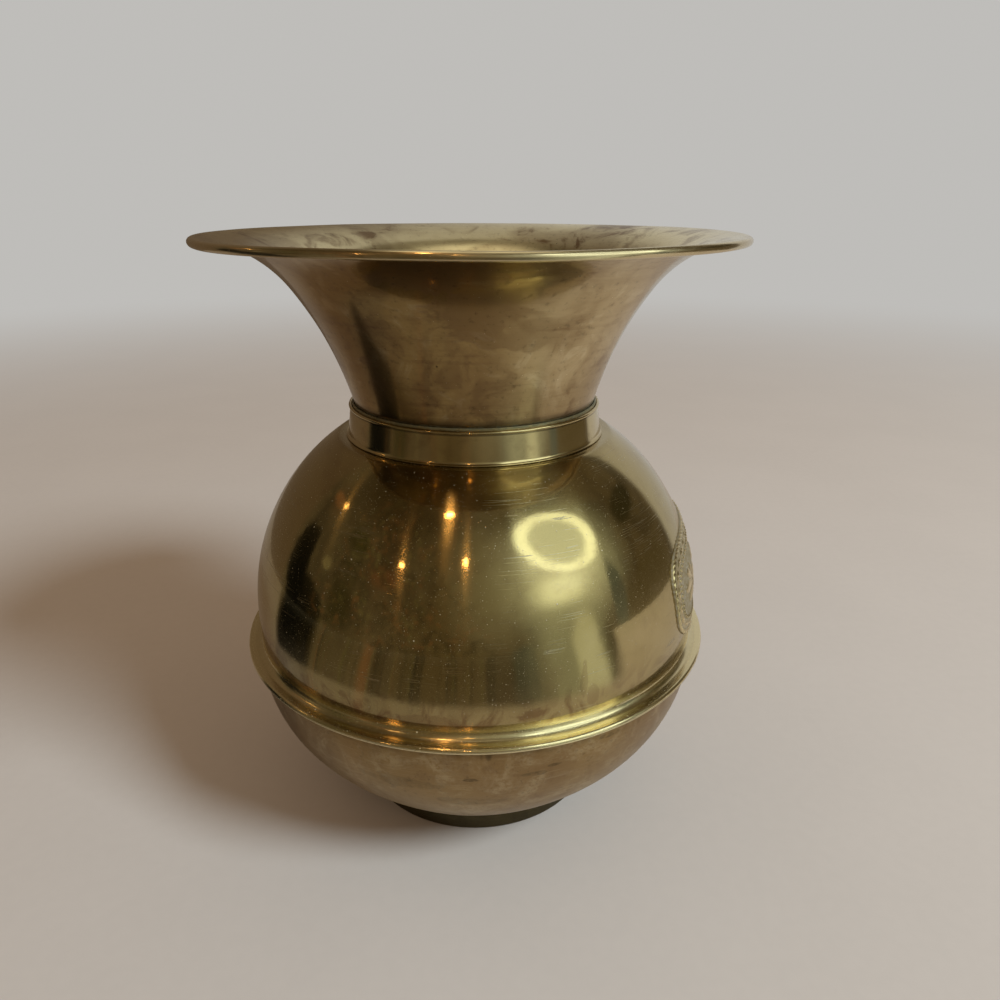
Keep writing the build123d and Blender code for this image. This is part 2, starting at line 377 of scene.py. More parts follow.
def towards(bearing, elevation):
    """Unit vector at a bearing from the front towards the right, and an elevation."""
    level = math.cos(elevation)
    return Vector((math.sin(bearing) * level, -math.cos(bearing) * level, math.sin(elevation)))


def ramp(value, low, high):
    """0 under low, 1 over high and even between."""
    return min(1, max(0, (value - low) / (high - low)))


# Relief of the medallion, from 0 on the shoulder to 1


def full_oval(a, b, count, fullness=0.62):
    """Points at even distances round an oval whose corners are fuller than an ellipse's."""
    ring = []
    for i in range(8 * count + 1):
        c, s = math.cos(math.pi * i / (4 * count)), math.sin(math.pi * i / (4 * count))
        ring.append((a * math.copysign(abs(c) ** fullness, c), b * math.copysign(abs(s) ** fullness, s)))
    travel = [0.0]
    for start, end in zip(ring, ring[1:]):
        travel.append(travel[-1] + math.dist(start, end))
    points, at = [], 0
    for i in range(count + 1):
        goal = travel[-1] * i / count
        while at < len(travel) - 2 and travel[at + 1] < goal:
            at += 1
        part = (goal - travel[at]) / (travel[at + 1] - travel[at])
        points.append([p + (q - p) * part for p, q in zip(ring[at], ring[at + 1])])
    return points


def dome(distance, radius):
    """Height of a round bead at a distance from its middle."""
    return math.sqrt(max(0, 1 - (distance / radius) ** 2))


ROPE_STRANDS, BORDER_LEAVES, BORDER_BEADS = 88, 34, 92
# Where the border's bands end, as shares of its width: sloping edge, rope, groove, leaves, groove
EDGE, ROPE, ROPE_GROOVE, LEAVES, LEAF_GROOVE = 0.03, 0.26, 0.33, 0.74, 0.78
PETALS, ROSETTE, BOSS = 8, 10.5, 3.2
# Palm leaves on either side: where each starts, in mm from the middle, and its size
PALMS = ((13.5, 1.0), (33.0, 0.85))
PALM_LENGTH, PALM_SPREAD, PALM_FINGERS = 17.5, 1.9, 4.2


def border_relief(inset, travel):
    """Rope, leaf band and beads, from the outer edge (0) to the field (1), with the way round from 0 to 1."""
    if inset < EDGE:
        return -0.3 + inset * 10
    if inset < ROPE:
        strand = 0.72 + 0.28 * math.sin(2 * math.pi * (travel * ROPE_STRANDS + (inset - 0.14) * 5))
        return 0.05 + 0.95 * dome(inset - (EDGE + ROPE) / 2, 0.12) * strand
    if inset < ROPE_GROOVE or LEAVES < inset < LEAF_GROOVE:
        return 0.12
    if inset <= LEAVES:
        place = travel * BORDER_LEAVES % 1 - 0.5
        side = abs(inset - (ROPE_GROOVE + LEAVES) / 2) / 0.17
        leaf = 1 - (side + abs(place) * 2.1 - 0.25 * side * abs(place))
        vein = 0.25 if abs(place) < 0.05 and leaf > 0.1 else 0
        return 0.3 + max(0, min(1, leaf * 2.4)) * 0.42 - vein
    place = (travel * BORDER_BEADS % 1 - 0.5) * 2.75
    return 0.1 + 0.7 * dome(math.hypot(place, (inset - 0.885) * 9), 0.95)


def field_relief(x, y, inward):
    """Rosette in the middle and two palm leaves on either side, in mm from the middle."""
    off, turn = math.hypot(x, y), math.atan2(y, x)
    petal = ROSETTE * (0.62 + 0.38 * abs(math.cos(PETALS / 2 * turn)))
    high = 0.08 + 0.1 * math.sin(x * 3.2) * math.sin(y * 3.2)
    if off < petal:
        vein = 0.12 * (abs(math.sin(PETALS / 2 * turn)) > 0.93)
        high = max(high, 0.25 + 0.55 * dome(off - petal * 0.55, petal * 0.48) - vein)
    if off < BOSS:
        high = max(high, 0.45 + 0.55 * dome(off, BOSS))
    for start, size in PALMS:
        far = abs(x) - start
        out, fan = math.hypot(far, y), math.atan2(y, far)
        finger = abs(math.cos(PALM_FINGERS * fan))
        leaf = size * (PALM_LENGTH - 5.2 * abs(fan)) * (0.55 + 0.45 * finger)
        if far > -2 and abs(fan) < PALM_SPREAD and out < leaf:
            high = max(high, 0.2 + 0.55 * finger * dome(out - leaf * 0.5, leaf * 0.55))
    return high * min(1, (1 - inward) * 12 + 0.6)


# Finishes


class Link:
    """A socket of a material; sums on it add Math nodes."""

    def __init__(self, finish, socket):
        self.finish = finish
        self.socket = socket

    def __add__(self, other):
        return self.finish.maths("ADD", self, other)

    def __sub__(self, other):
        return self.finish.maths("SUBTRACT", self, other)

    def __rsub__(self, other):
        return self.finish.maths("SUBTRACT", other, self)

    def __mul__(self, other):
        return self.finish.maths("MULTIPLY", self, other)

    def __truediv__(self, other):
        return self.finish.maths("DIVIDE", self, other)

    def __pow__(self, other):
        return self.finish.maths("POWER", self, other)

    def __abs__(self):
        return self.finish.maths("ABSOLUTE", self)

    __radd__ = __add__
    __rmul__ = __mul__

    def between(self, low, high):
        """0 at low, 1 at high, smooth between."""
        inputs = {"Value": self, "From Min": low, "From Max": high}
        return self.finish.node("ShaderNodeMapRange", {"interpolation_type": "SMOOTHSTEP"}, inputs)

    def most(self, other):
        """The larger of two values."""
        return self.finish.maths("MAXIMUM", self, other)


class Finish:
    """A material, or a world, that is built node by node."""

    def __init__(self, name, world=None):
        self.holder = world or bpy.data.materials.new(name)
        self.holder.use_nodes = True
        self.tree = self.holder.node_tree
        self.tree.nodes.clear()
        self.column = 0

    def node(self, kind, settings=None, inputs=None, output=0):
        """Adds a node, sets it, fills or links its sockets and gives one of its outputs."""
        made = self.tree.nodes.new(kind)
        made.location = (self.column * 30, (self.column % 12) * -160)
        self.column += 1
        for name, value in (settings or {}).items():
            setattr(made, name, value)
        for name, value in (inputs or {}).items():
            socket = made.inputs[name]
            if isinstance(value, Link):
                self.tree.links.new(value.socket, socket)
            else:
                socket.default_value = value
        return Link(self, made.outputs[output])

    def maths(self, operation, *values):
        """One step of a sum."""
        return self.node("ShaderNodeMath", {"operation": operation}, dict(enumerate(values)))

    def ray(self, kind):
        """1 for one kind of ray, such as Camera or Glossy, and 0 for the rest."""
        return self.node("ShaderNodeLightPath", output=f"Is {kind} Ray")

    def place(self):
        """Object coordinates, with their parts and the distance from the axis."""
        if not hasattr(self, "spot"):
            self.spot = self.node("ShaderNodeTexCoord", output="Object")
            split = self.tree.nodes.new("ShaderNodeSeparateXYZ")
            self.tree.links.new(self.spot.socket, split.inputs[0])
            self.x, self.y, self.z = (Link(self, socket) for socket in split.outputs)
            self.r = (self.x * self.x + self.y * self.y + 1e-9) ** 0.5
        return self.spot

    def vector(self, x, y, z):
        """A vector from its three parts."""
        return self.node("ShaderNodeCombineXYZ", None, {0: x, 1: y, 2: z})

    def noise(self, scale, detail=2, roughness=0.5, distortion=0, at=None):
        """Cloudy pattern from 0 to 1, with its scale per metre."""
        inputs = {"Vector": at or self.place(), "Scale": scale, "Detail": detail}
        return self.node("ShaderNodeTexNoise", None, inputs | {"Roughness": roughness, "Distortion": distortion})

    def rings(self, pitch, wander=1.5):
        """Lines that run round the axis, as a lathe leaves them, with their pitch in metres."""
        self.place()
        at = self.vector(self.x / self.r * wander, self.y / self.r * wander, self.r / pitch)
        inputs = {"Vector": at, "W": self.z / pitch, "Scale": 1, "Detail": 3, "Roughness": 0.6}
        return self.node("ShaderNodeTexNoise", {"noise_dimensions": "4D"}, inputs)

    def specks(self, pitch, size, amount):
        """Round specks: their pitch and radius in metres, and the share of places that hold one."""
        cells = self.tree.nodes.new("ShaderNodeTexVoronoi")
        self.tree.links.new(self.place().socket, cells.inputs["Vector"])
        cells.inputs["Scale"].default_value = 1 / pitch
        near = 1 - Link(self, cells.outputs["Distance"]).between(size / pitch * 0.6, size / pitch)
        pick = self.node("ShaderNodeSeparateColor", None, {0: Link(self, cells.outputs["Color"])})
        return near * (1 - pick.between(amount, amount + 0.02))

    def scratches(self, turn, pitch, width, amount):
        """Long thin scratches across a piece, turned by three angles."""
        inputs = {"Vector": self.place(), "Rotation": turn}
        stretched = self.node("ShaderNodeMapping", None, inputs | {"Scale": (4, 7, 1 / pitch)})
        lines = abs(self.noise(1, 1, at=stretched) - 0.5)
        patches = self.noise(38, 2, at=self.node("ShaderNodeMapping", None, inputs))
        return (1 - lines.between(width * 0.4, width)) * patches.between(1 - amount, 1.06 - amount)

    def mark(self, x, z, width, height, strength, ragged):
        """A stain in front, with ragged edges: its middle, half width and half height in mm, and its strength."""
        across, up = (self.x / MM - x) / width, (self.z / MM - z) / height
        off = (across * across + up * up) ** 0.5 + (ragged - 0.5) * 2.2
        return (1 - off.between(0.75, 1.0)) * (1 - self.y.between(-0.01, 0.0)) * strength

    def marked(self, stain, marks, ragged):
        """Adds a table's marks to a pattern of stains."""
        for mark in marks:
            stain = stain.most(self.mark(*mark, ragged))
        return stain

    def blend(self, first, second, factor):
        """Mixes two colours."""
        inputs = {0: factor, 6: full(first), 7: full(second)}
        return self.node("ShaderNodeMix", {"data_type": "RGBA"}, inputs, output=2)

    def bumped(self, *layers):
        """A normal from layers of (height, distance in metres)."""
        normal = None
        for height, distance in layers:
            inputs = {"Height": height, "Distance": distance, "Strength": 1.0}
            if normal:
                inputs["Normal"] = normal
            normal = self.node("ShaderNodeBump", None, inputs)
        return normal

    def metal(self, skin, roughness, normal, metallic=1.0, streaks=0.0):
        """Metal whose gloss streaks up and down, across the lathe's lines."""
        inputs = {"Base Color": skin, "Roughness": roughness, "Metallic": metallic, "Normal": normal}
        return self.node(
            "ShaderNodeBsdfPrincipled", None, inputs | {"Anisotropic": streaks, "Anisotropic Rotation": 0.25}
        )

    def glow(self, paint):
        """Light of its own, in a colour."""
        return self.node("ShaderNodeEmission", None, {"Color": full(paint)})

    def mixed(self, factor, first, second):
        """Mixes two shaders."""
        return self.node("ShaderNodeMixShader", None, {0: factor, 1: first, 2: second})

    def done(self, shader, kind="ShaderNodeOutputMaterial"):
        """Ends the nodes and gives the material or world."""
        end = self.tree.nodes.new(kind)
        self.tree.links.new(shader.socket, end.inputs["Surface"])
        return self.holder


def full(value):
    """A colour with its alpha, or a link as it is."""
    return value if isinstance(value, Link) else (*value[:3], 1.0)


# Scratches on the shoulder: turn about three axes, pitch, width as a share of the pitch, and how much they cover
SCRATCHES = (
    ((0.5, 0.2, 0.9), 2.6 * MM, 0.012, 0.42),
    ((1.9, 0.7, 2.1), 3.4 * MM, 0.010, 0.40),
    ((2.6, 1.4, 0.3), 4.0 * MM, 0.009, 0.38),
)
# Stains seen from the front: x, height, half width and half height in mm, and strength
SHOULDER_MARKS = (
    (45, 99, 2.5, 5, 0.45),
    (41, 108, 1.5, 8, 0.4),
    (28, 104, 3, 6, 0.35),
    (-18, 94, 13, 3, 0.6),
)
FUNNEL_MARKS = (
    (-12, 256, 26, 7, 0.85),
    (2, 243, 18, 11, 0.7),
    (17, 232, 17, 5, 0.6),
    (-36, 236, 7, 4, 0.6),
    (-42, 221, 2.5, 2, 0.9),
)
BOWL_MARKS = (
    (-3, 67, 3.5, 1.2, 0.9),
    (22, 68, 6, 1.3, 0.8),
    (30, 71, 4, 1.1, 0.8),
    (53, 78, 5, 1.6, 0.7),
    (-30, 62, 16, 4, 0.4),
    (-4, 52, 18, 3, 0.4),
)


def shoulder_brass(c, s, k):
    """Polished brass, with haze, fine scratches, dust, brown clouds, and dirt at the seam and the ledge; a painted
    highlight in bright brass lies on the band just above the seam, and the brown on the lower part is painted weaker
    on the right as painted light.
    """
    f = Finish("shoulder_brass")
    f.place()
    clouds = f.noise(16, 3, 0.55, 0.6)
    mottle = f.noise(120, 4, 0.6)
    rings = f.rings(0.5 * MM)
    low = 1 - f.z.between(k.seam_top + 9 * MM, k.seam_top + 24 * MM)
    blots = f.noise(52, 4, 0.62, 1.4)
    tarnish_and_painted_light = clouds.between(0.5, 0.75) * 0.30 + mottle.between(0.5, 0.75) * 0.20
    # Brown stains on the lower part, painted weaker on the right-hand side as painted light from the lit floor
    # mirrored there.
    tarnish_and_painted_light = tarnish_and_painted_light.most(low * (0.15 + blots.between(0.42, 0.56) * 0.75) * (1 - f.x.between(0.02, 0.08) * 0.5))
    tarnish_and_painted_light = f.marked(tarnish_and_painted_light, SHOULDER_MARKS, blots)
    # The band just above the seam, up to 6 mm, is painted in bright brass: a painted highlight.
    seam = 1 - f.z.between(k.seam_top + 3 * MM, k.seam_top + 6 * MM)
    skin = f.blend(f.blend(c.shoulder, c.stain, tarnish_and_painted_light), c.bare_and_highlight, seam)
    skin = f.blend(skin, c.pale, clouds.between(0.5, 0.25) * 0.25 + rings.between(0.6, 0.8) * 0.12)
    first, second, third = (f.scratches(*scratch) for scratch in SCRATCHES)
    lines = first.most(second).most(third)
    dust = (f.specks(0.7 * MM, 0.13 * MM, 0.3) * 0.5).most(f.specks(1.7 * MM, 0.2 * MM, 0.3) * 0.8)
    dust = dust.most(f.specks(6 * MM, 0.36 * MM, 0.22))
    hollow = 1 - abs(f.z - k.seam_top - 0.5 * MM).between(0.2 * MM, 1.6 * MM)
    hollow = hollow * f.r.between(k.skirt_r + 1 * MM, k.skirt_r)
    ledge = f.z.between(k.ledge - 1.5 * MM, k.ledge) * 0.5
    dirt = (hollow * 0.12).most(ledge * 0.35) * (0.45 + f.noise(220, 3).between(0.35, 0.75) * 0.3)
    groove = 1 - abs(f.z - k.fold_z).between(0.05 * MM, 0.22 * MM)
    skin = f.blend(skin, c.grime_and_shade, dirt.most(groove * 0.35))
    joint = f.z.between(s.lip - 1.5 * MM, s.lip - 0.3 * MM) * (0.35 + f.noise(400, 3).between(0.35, 0.6) * 0.4)
    skin = f.blend(skin, c.verdigris, joint)
    skin = f.blend(skin, c.dust, dust * (0.6 - seam * 0.4) + lines * 0.3)
    rough = 0.055 + mottle * 0.035 + clouds.between(0.45, 0.8) * 0.02 + dust * 0.35 + lines * 0.2 + dirt * 0.3
    rough = rough + joint * 0.5 + seam * 0.06
    normal = f.bumped(
        (f.noise(45, 2), 0.10 * MM),
        (rings, 0.0035 * MM),
        (dust - lines * 0.3 - groove * 6, 0.02 * MM),
        (f.noise(900, 2), 0.009 * MM),
    )
    clean = f.metal(skin, rough, normal, 1 - (dust * 0.6).most(joint * 0.9), 0.25)
    hazy = f.metal(skin, rough + 0.13, normal, 1 - dust * 0.6, 1.0)
    haze = 0.36 + mottle.between(0.4, 0.7) * 0.16
    return f.done(f.mixed(haze, clean, hazy))


def funnel_brass(c, s, k):
    """Brass with lathe lines, brown stains and pits; paler inside, partly as painted light; painted highlights on the
    rolled rim and in a band right of the axis; painted shade where it enters the neck.
    """
    f = Finish("funnel_brass")
    f.place()
    inside = f.node("ShaderNodeAttribute", {"attribute_name": "inside"}, output="Fac")
    clouds = f.noise(17, 3, 0.55, 0.8)
    blots = f.noise(48, 4, 0.62, 1.4)
    mottle = f.noise(170, 3, 0.6)
    rings = f.rings(0.35 * MM, 2.0)
    broad = f.rings(2.2 * MM, 1.0)
    fine = f.noise(420, 3, 0.65)
    stain = clouds.between(0.45, 0.6) * 0.45 + blots.between(0.5, 0.6) * 0.35 + broad.between(0.52, 0.66) * 0.25
    stain = f.marked(stain, FUNNEL_MARKS, blots)
    skin = f.blend(c.funnel, c.stain, stain)
    # A band right of the axis, about 30 to 55 mm out, is painted paler: a painted highlight standing in for the
    # lamp's streak.
    wear_and_sheen = f.x.between(0.0, 0.03) * (1 - f.x.between(0.055, 0.08)) * (0.6 - clouds * 0.4)
    rubbed = rings.between(0.58, 0.8) * 0.14 + blots.between(0.45, 0.3) * 0.25 + wear_and_sheen
    skin = f.blend(skin, c.pale, rubbed * (1 - stain * 0.8))
    spoilt = clouds.between(0.5, 0.62) * 0.4 + blots.between(0.5, 0.66) * 0.6
    deep = 1 - f.z.between(s.lip + 40 * MM, s.lip + 66 * MM)
    # The inside faces are painted in bright brass, partly as painted light falling into the funnel, with stains that
    # grow towards the throat.
    skin = f.blend(skin, f.blend(c.bare_and_highlight, c.stain, spoilt.most(deep * 0.8)), inside)
    skin = f.blend(skin, c.grime_and_shade, fine.between(0.55, 0.75) * 0.35 + rings.between(0.45, 0.25) * 0.2)
    pits = f.specks(7 * MM, 0.45 * MM, 0.3)
    dust = f.specks(1.8 * MM, 0.16 * MM, 0.22)
    skin = f.blend(skin, c.grime_and_shade, pits * 0.75 + mottle.between(0.66, 0.8) * 0.2)
    skin = f.blend(skin, c.dust, dust * 0.4)
    # The rolled rim is painted paler: a painted highlight.
    rim = f.r.between(s.rim_radius - 4 * MM, s.rim_radius - 1.6 * MM)
    skin = f.blend(skin, c.pale, rim * (0.45 + blots * 0.4))
    joint = (1 - abs(f.z - s.lip).between(0.2 * MM, 1.1 * MM)) * (0.3 + f.noise(380, 3).between(0.4, 0.62) * 0.5)
    skin = f.blend(skin, c.verdigris, joint)
    # A dark band just above the lip, where the funnel enters the neck, is painted shade.
    skin = f.blend(skin, c.grime_and_shade, (1 - abs(f.z - s.lip - 1 * MM).between(0.3 * MM, 2.6 * MM)) * 0.5)
    rough = 0.06 + stain * 0.06 + mottle * 0.03 + dust * 0.3 + joint * 0.4
    normal = f.bumped((f.noise(40, 2), 0.03 * MM), (broad, 0.006 * MM), (rings, 0.003 * MM), (pits, -0.06 * MM))
    clean = f.metal(skin, rough, normal, 1 - (dust * 0.5).most(joint * 0.8), 0.4)
    hazy = f.metal(skin, rough + 0.24, normal, 1 - dust * 0.5, 0.7)
    return f.done(f.mixed(0.4 + stain * 0.3, clean, hazy))


def collar_brass(c, s, k):
    """Bright turned band with fine lines, and dirt and verdigris at its edges."""
    f = Finish("collar_brass")
    f.place()
    rings = f.rings(0.22 * MM, 1.2)
    mottle = f.noise(130, 3, 0.6)
    skin = f.blend(c.collar, c.stain, mottle.between(0.5, 0.8) * 0.35 + rings.between(0.6, 0.8) * 0.12)
    edge = (1 - f.z.between(COLLAR_LOW.z, COLLAR_LOW.z + 1.2 * MM)) * f.noise(300, 3).between(0.35, 0.7) * 0.5
    top = f.z.between(COLLAR_HIGH.z - 0.7 * MM, COLLAR_HIGH.z - 0.1 * MM) * f.noise(260, 3).between(0.5, 0.75) * 0.6
    groove = (1 - abs(f.z - (COLLAR_HIGH.z - 1.7 * MM)).between(0, 0.5 * MM)) * 0.6
    skin = f.blend(skin, c.grime_and_shade, (edge * 0.6).most(groove))
    skin = f.blend(skin, c.verdigris, top * 0.5)
    rough = 0.12 + mottle * 0.08 + edge * 0.25 + top * 0.3
    normal = f.bumped((f.noise(90, 2), 0.03 * MM), (rings, 0.004 * MM))
    return f.done(f.metal(skin, rough, normal, 1.0, 0.65))


def medallion_brass(c):
    """Worn brass, bright on the high places, with old polish and dirt in the ground."""
    f = Finish("medallion_brass")
    f.place()
    relief = f.node("ShaderNodeAttribute", {"attribute_name": "relief"}, output="Fac")
    mottle = f.noise(620, 3, 0.6)
    low = 1 - relief.between(0.12, 0.5)
    skin = f.blend(c.collar, c.bare_and_highlight, relief.between(0.45, 0.8) * 0.8)
    skin = f.blend(skin, c.grime_and_shade, low * (0.35 + mottle * 0.45))
    skin = f.blend(skin, c.dust, low * mottle.between(0.45, 0.62) * 0.4)
    normal = f.bumped((mottle, 0.02 * MM))
    return f.done(f.metal(skin, 0.24 + low * 0.3 + mottle * 0.08, normal, 1 - low * 0.4))


def bowl_brass(c, s, k):
    """Dull rubbed brass, with brush streaks round it, dark smudges and painted shade under the seam."""
    f = Finish("bowl_brass")
    f.place()
    clouds = f.noise(20, 3, 0.55, 0.6)
    mottle = f.noise(150, 4, 0.65)
    rings = f.rings(0.45 * MM, 5.0)
    broad = f.rings(2.4 * MM, 2.0)
    blots = f.noise(55, 4, 0.62, 1.2)
    fine = f.noise(420, 3, 0.65)
    skin = f.blend(c.bowl, c.stain, clouds.between(0.42, 0.7) * 0.5 + mottle.between(0.48, 0.72) * 0.4)
    wear_and_sheen = blots.between(0.56, 0.3) * 0.3 * fine.between(0.3, 0.6)
    skin = f.blend(skin, c.pale, rings.between(0.55, 0.75) * 0.18 + wear_and_sheen)
    skin = f.blend(skin, c.grime_and_shade, fine.between(0.56, 0.74) * 0.3)
    smudge = f.marked(f.noise(34, 3, 0.6, 1.5).between(0.66, 0.74), BOWL_MARKS, blots)
    skin = f.blend(skin, c.grime_and_shade, smudge * 0.5 * fine.between(0.3, 0.55))
    # The band just under the seam is darkened as painted shade under the seam's overhang.
    seam = f.z.between(k.bowl_top - 5 * MM, k.bowl_top) * f.noise(200, 3).between(0.3, 0.7)
    foot = 1 - f.z.between(s.foot_height, s.foot_height + 4 * MM)
    skin = f.blend(skin, c.grime_and_shade, seam * 0.55 + foot * 0.4 * f.noise(180, 3).between(0.3, 0.7))
    rough = 0.27 + mottle * 0.16 + smudge * 0.1 + seam * 0.2
    normal = f.bumped((f.noise(50, 2), 0.14 * MM), (broad, 0.012 * MM), (rings, 0.008 * MM), (mottle, 0.01 * MM))
    return f.done(f.metal(skin, rough, normal, 1.0, 0.5))


def foot_brass(c, s, k):
    """Tarnished brass, darkened further as painted shade under the bowl, and rubbed bright where it meets the floor.
    """
    f = Finish("foot_brass")
    f.place()
    mottle = f.noise(110, 4, 0.65)
    rings = f.rings(0.5 * MM, 4.0)
    skin = f.blend(c.foot, c.grime_and_shade, mottle.between(0.4, 0.75) * 0.5)
    skin = f.blend(skin, c.pale, rings.between(0.6, 0.78) * 0.16)
    rubbed = (1 - f.z.between(0.1 * MM, 1.4 * MM)) * mottle.between(0.35, 0.6)
    skin = f.blend(skin, c.bowl, rubbed * 0.6)
    normal = f.bumped((rings, 0.01 * MM), (mottle, 0.02 * MM))
    return f.done(f.metal(skin, 0.34 + mottle * 0.2, normal, 1.0, 0.4))


SOLDER_NODES = ("seam_solder", "collar_solder", "foot_solder")
# Nodes inside the vessel: their finish, its two colours, its roughness and its grain
GREY_METALS = (
    (SOLDER_NODES, "solder", (0.50, 0.50, 0.48), (0.24, 0.24, 0.22), 0.35, 0.8 * MM),
    (("rim_wire",), "iron_wire", (0.32, 0.30, 0.28), (0.16, 0.10, 0.06), 0.45, 0.5 * MM),
    (("base_weight",), "cast_iron", (0.11, 0.10, 0.10), (0.16, 0.08, 0.04), 0.6, 1.2 * MM),
)


def grey_metal(name, base, dark, roughness, grain):
    """Solder, wire or cast iron: mottled, with a bumpy skin."""
    f = Finish(name)
    f.place()
    mottle = f.noise(1 / grain, 4, 0.65)
    spots = f.noise(0.25 / grain, 3)
    skin = f.blend(base, dark, mottle.between(0.35, 0.7) * 0.7 + spots.between(0.5, 0.7) * 0.3)
    normal = f.bumped((mottle, grain * 0.08))
    return f.done(f.metal(skin, roughness + mottle * 0.2, normal))


# Surroundings: bearing and elevation in degrees, half width and height as shares of the room, soft from and colour
PATCHES = (
    (-15, 8, 0.50, 0.50, 0.3, (0.105, 0.078, 0.040)),
    (-64, 58, 0.50, 0.34, 0.3, (0.050, 0.034, 0.016)),
    (-46, 31, 0.19, 0.12, 0.3, (0.17, 0.075, 0.035)),
    (-68, 38, 0.15, 0.10, 0.4, (0.055, 0.050, 0.016)),
    (-66, 12, 0.18, 0.24, 0.4, (0.045, 0.038, 0.016)),
    (-80, 23, 0.07, 0.05, 0.4, (0.30, 0.26, 0.15)),
    (-88, 3, 0.26, 0.22, 0.8, (0.004, 0.004, 0.003)),
    (-97, 14, 0.14, 0.28, 0.8, (0.004, 0.004, 0.003)),
    (-100, 41, 0.11, 0.05, 0.4, (0.30, 0.14, 0.06)),
    (8, 34, 0.45, 0.66, 0.2, (0.24, 0.22, 0.155)),
    (20, -2, 0.12, 0.16, 0.5, (0.075, 0.085, 0.075)),
    (47, 33, 0.64, 0.56, 0.15, (0.80, 0.88, 0.76)),
    (41, 4, 0.38, 0.42, 0.4, (0.34, 0.36, 0.29)),
    (49, 0, 0.15, 0.32, 0.5, (0.66, 0.70, 0.57)),
    (41, 28, 0.33, 0.18, 0.2, (1.55, 1.75, 1.55)),
    (70, 12, 0.08, 0.34, 0.7, (0.11, 0.13, 0.12)),
    (94, 6, 0.38, 0.26, 0.7, (0.105, 0.082, 0.042)),
    (102, 35, 0.24, 0.11, 0.6, (0.030, 0.026, 0.010)),
)
# Things that stand about in front on the left: scale and thresholds of their pattern, colour and strength
CLUTTER = (
    (9, 0.52, 0.60, (0.030, 0.024, 0.010), 0.75),
    (13, 0.58, 0.63, (0.24, 0.115, 0.050), 0.65),
    (17, 0.59, 0.63, (0.20, 0.18, 0.085), 0.60),
    (23, 0.60, 0.64, (0.012, 0.012, 0.008), 0.70),
)
# Small bulbs: bearing, elevation, radius and power
BULBS = (
    (-23, 65, 0.020, 0.16),
    (-5, 45, 0.012, 0.05),
    (-40, 39, 0.012, 0.035),
    (-93, 43, 0.016, 0.018),
)
LAMP_GLASS, LAMP_RING = (0.95, 1.08, 1.0), (2.3, 2.6, 2.35)
# Distances from the axis where the mirrored floor gives way to the room, and where the floor fades into the backdrop
SEEN_FLOOR, FLOOR_FADE = (0.22, 0.27), (0.5, 2.2)


# Operators


class SPITTOON_OT_funnel(bpy.types.Operator):
    """Funnel with its spigot, flare and rolled rim"""

    bl_idname = "spittoon.funnel"
    bl_label = "Funnel"

    def execute(self, context):
        s, c = context.scene.sheet_sizes, context.scene.brass_colours
        k = Curves(s)
        out, up = reach(s.throat_sweep, k.spigot_slope, s.seat_slope)
        gap = math.acos((s.curl - s.curl_slit) / k.curl_out)
        steps = [
            (s.throat_sweep, k.spigot_slope - s.flare_slope),
            (s.flare_sweep, s.flare_slope - k.rim_slope),
            (s.curl, gap - 2 * math.pi),
        ]
        points = traced((k.seat_r - out, s.lip - up), math.pi / 2 - k.spigot_slope, steps)
        piece = turned("funnel_bell", points)
        low, edge = s.lip + 12 * MM, s.rim_radius
        dent(piece, 50 * MM, s.dents, lambda r, z: ramp(z, low, low + 20 * MM) * ramp(edge - r, 3 * MM, 12 * MM))
        dent(piece, 90 * MM, s.rim_dents, lambda r, z: ramp(r, 85 * MM, edge), "Z")
        thickened(piece, s.wall)
        inside = piece.data.attributes.new("inside", "FLOAT", "POINT")
        for vertex, way in zip(piece.data.vertices, [v.normal for v in piece.data.vertices]):
            x, y, _ = vertex.co
            outward = (way.x * x + way.y * y) / math.hypot(x, y)
            inside.data[vertex.index].value = ramp(way.z - outward, -0.2, 0.2)
        finished(piece, "funnel", funnel_brass(c, s, k), "funnel_brass", "funnel")
        return {"FINISHED"}


class SPITTOON_OT_shoulder(bpy.types.Operator):
    """Upper half of the body: hem, folded seam, hollow curve, shoulder, ledge and neck"""

    bl_idname = "spittoon.shoulder"
    bl_label = "Shoulder"

    def execute(self, context):
        s, c = context.scene.sheet_sizes, context.scene.brass_colours
        k = Curves(s)
        skirt_slope = math.asin((s.skirt_fillet - s.belly_rise) / (s.shoulder_sweep + s.skirt_fillet))
        crease_slope = math.asin(k.crease_rise / (s.shoulder_sweep - s.crease_bend))
        quarter = math.pi / 2
        steps = [
            (k.hem, 0),
            (k.fold, 2 * quarter),
            (k.fold_r - k.skirt_r, 0),
            (s.skirt_fillet, skirt_slope - quarter),
            (s.shoulder_sweep, crease_slope - skirt_slope),
            (s.crease_bend, quarter - crease_slope),
            (s.ledge_width, 0),
            (s.root_bend, -quarter),
            (s.lip - k.ledge - s.root_bend, 0),
        ]
        piece = turned("shoulder", traced((k.fold_r - k.hem, k.fold_z - k.fold), 0, steps))
        low, high = k.seam_top + 6 * MM, k.ledge - 12 * MM
        dent(piece, 60 * MM, s.dents, lambda r, z: ramp(z, low, low + 15 * MM) * ramp(high - z, 0, 15 * MM))
        thickened(piece, s.wall)
        finished(piece, "vessel", shoulder_brass(c, s, k), "body_brass", "shoulder_shell")
        return {"FINISHED"}


